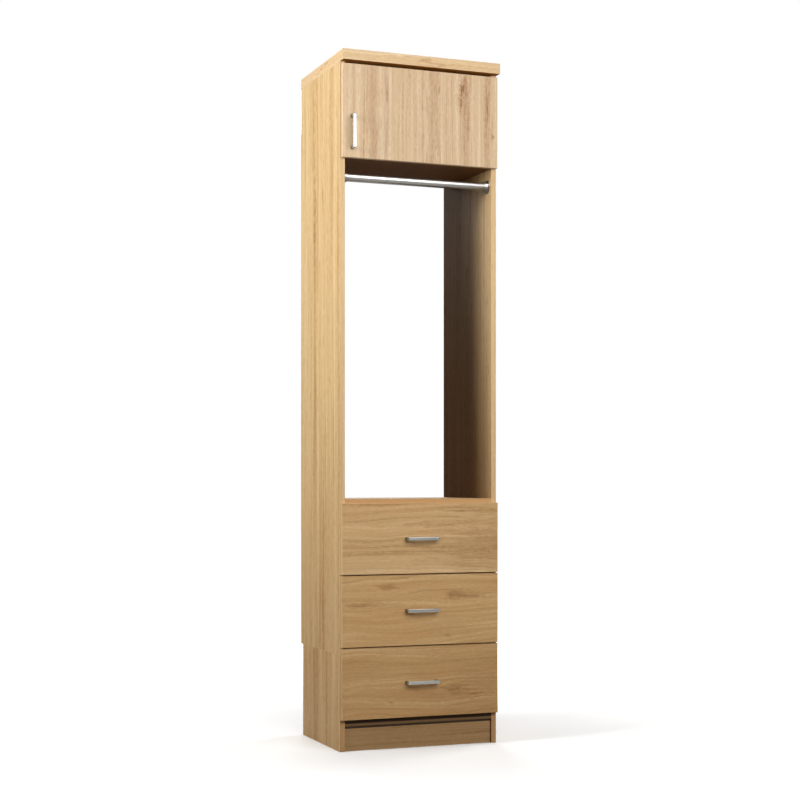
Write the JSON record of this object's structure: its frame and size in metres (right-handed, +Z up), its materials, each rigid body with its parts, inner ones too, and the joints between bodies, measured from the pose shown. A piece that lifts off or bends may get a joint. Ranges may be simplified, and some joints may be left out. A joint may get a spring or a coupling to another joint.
{
  "type": "chifforobe",
  "caption": "Tall narrow light oak closet tower: top cabinet behind one door, open hanging bay with a rod, and drawers on telescopic slides above a toe kick.",
  "frame": {"origin": "on the floor, in the middle of the bounding box seen from above, handles included", "axes": "+Z up, -Y towards the front (door and drawers), +X to the right seen from the front"},
  "size_m": [0.52, 0.436, 2.134],
  "materials": {
    "oak_side": "satin laminate",
    "oak_shelf": "satin laminate",
    "oak_door": "satin laminate",
    "oak_drawer": "satin laminate",
    "oak_box": "satin laminate",
    "back_panel": "matt hardboard",
    "satin_nickel": "satin",
    "zinc_screw": "zinc plated",
    "zinc_slide": "zinc plated",
    "chrome_rod": "polished",
    "chrome_flange": "polished",
    "nickel_hinge": "nickel plated",
    "beech_tongue": "bare beech",
    "clear_bumper": "soft clear"
  },
  "bodies": {
    "carcass": {"base_board": "oak_shelf", "cabinet_back": "back_panel", "cabinet_floor": "oak_shelf", "deck_board": "oak_shelf", "drawer_back": "back_panel", "flange_screws": "zinc_screw", "hanging_rod": "chrome_rod", "hinge_arms": "nickel_hinge", "hinge_plate_screws": "zinc_screw", "hinge_plates": "nickel_hinge", "rod_flanges": "chrome_flange", "side_base_left": "oak_side", "side_base_right": "oak_side", "side_panel_left": "oak_side", "side_panel_right": "oak_side", "slide_outer_1": "zinc_slide", "slide_outer_2": "zinc_slide", "slide_outer_3": "zinc_slide", "toe_kick": "oak_shelf", "top_panel": "oak_side", "top_tongues": "beech_tongue", "wall_rail": "oak_shelf"},
    "door": {"door_panel": "oak_door", "door_handle": "satin_nickel", "door_handle_screws": "zinc_screw", "door_bumpers": "clear_bumper", "hinge_cups": "nickel_hinge", "hinge_pins": "nickel_hinge"},
    "slide_middles_1": {"slide_middle_1": "zinc_slide"},
    "drawer_1": {"drawer_front_1": "oak_drawer", "drawer_side_left_1": "oak_box", "drawer_side_right_1": "oak_box", "drawer_back_1": "oak_box", "drawer_bottom_1": "back_panel", "drawer_handle_1": "satin_nickel", "drawer_handle_screws_1": "zinc_screw", "slide_inner_1": "zinc_slide"},
    "slide_middles_2": {"slide_middle_2": "zinc_slide"},
    "drawer_2": {"drawer_front_2": "oak_drawer", "drawer_side_left_2": "oak_box", "drawer_side_right_2": "oak_box", "drawer_back_2": "oak_box", "drawer_bottom_2": "back_panel", "drawer_handle_2": "satin_nickel", "drawer_handle_screws_2": "zinc_screw", "slide_inner_2": "zinc_slide"},
    "slide_middles_3": {"slide_middle_3": "zinc_slide"},
    "drawer_3": {"drawer_front_3": "oak_drawer", "drawer_side_left_3": "oak_box", "drawer_side_right_3": "oak_box", "drawer_back_3": "oak_box", "drawer_bottom_3": "back_panel", "drawer_handle_3": "satin_nickel", "drawer_handle_screws_3": "zinc_screw", "slide_inner_3": "zinc_slide"}
  },
  "joints": [
    {"name": "door_swing", "type": "hinge", "parent": "carcass", "child": "door", "pos_m": [0.251, -0.183, 1.951], "axis": [0, 0, 1], "range_deg": [0, 100]},
    {"name": "drawer_slide_1", "type": "slide", "parent": "carcass", "child": "drawer_1", "axis": [0, -1, 0], "range_m": [0, 0.34]},
    {"name": "slide_middle_travel_1", "type": "slide", "parent": "carcass", "child": "slide_middles_1", "axis": [0, -1, 0], "range_m": [0, 0.17]},
    {"name": "drawer_slide_2", "type": "slide", "parent": "carcass", "child": "drawer_2", "axis": [0, -1, 0], "range_m": [0, 0.34]},
    {"name": "slide_middle_travel_2", "type": "slide", "parent": "carcass", "child": "slide_middles_2", "axis": [0, -1, 0], "range_m": [0, 0.17]},
    {"name": "drawer_slide_3", "type": "slide", "parent": "carcass", "child": "drawer_3", "axis": [0, -1, 0], "range_m": [0, 0.34]},
    {"name": "slide_middle_travel_3", "type": "slide", "parent": "carcass", "child": "slide_middles_3", "axis": [0, -1, 0], "range_m": [0, 0.17]}
  ],
  "couplings": [
    {"joint": "slide_middle_travel_1", "follows": "drawer_slide_1", "ratio": 0.5},
    {"joint": "slide_middle_travel_2", "follows": "drawer_slide_2", "ratio": 0.5},
    {"joint": "slide_middle_travel_3", "follows": "drawer_slide_3", "ratio": 0.5}
  ]
}
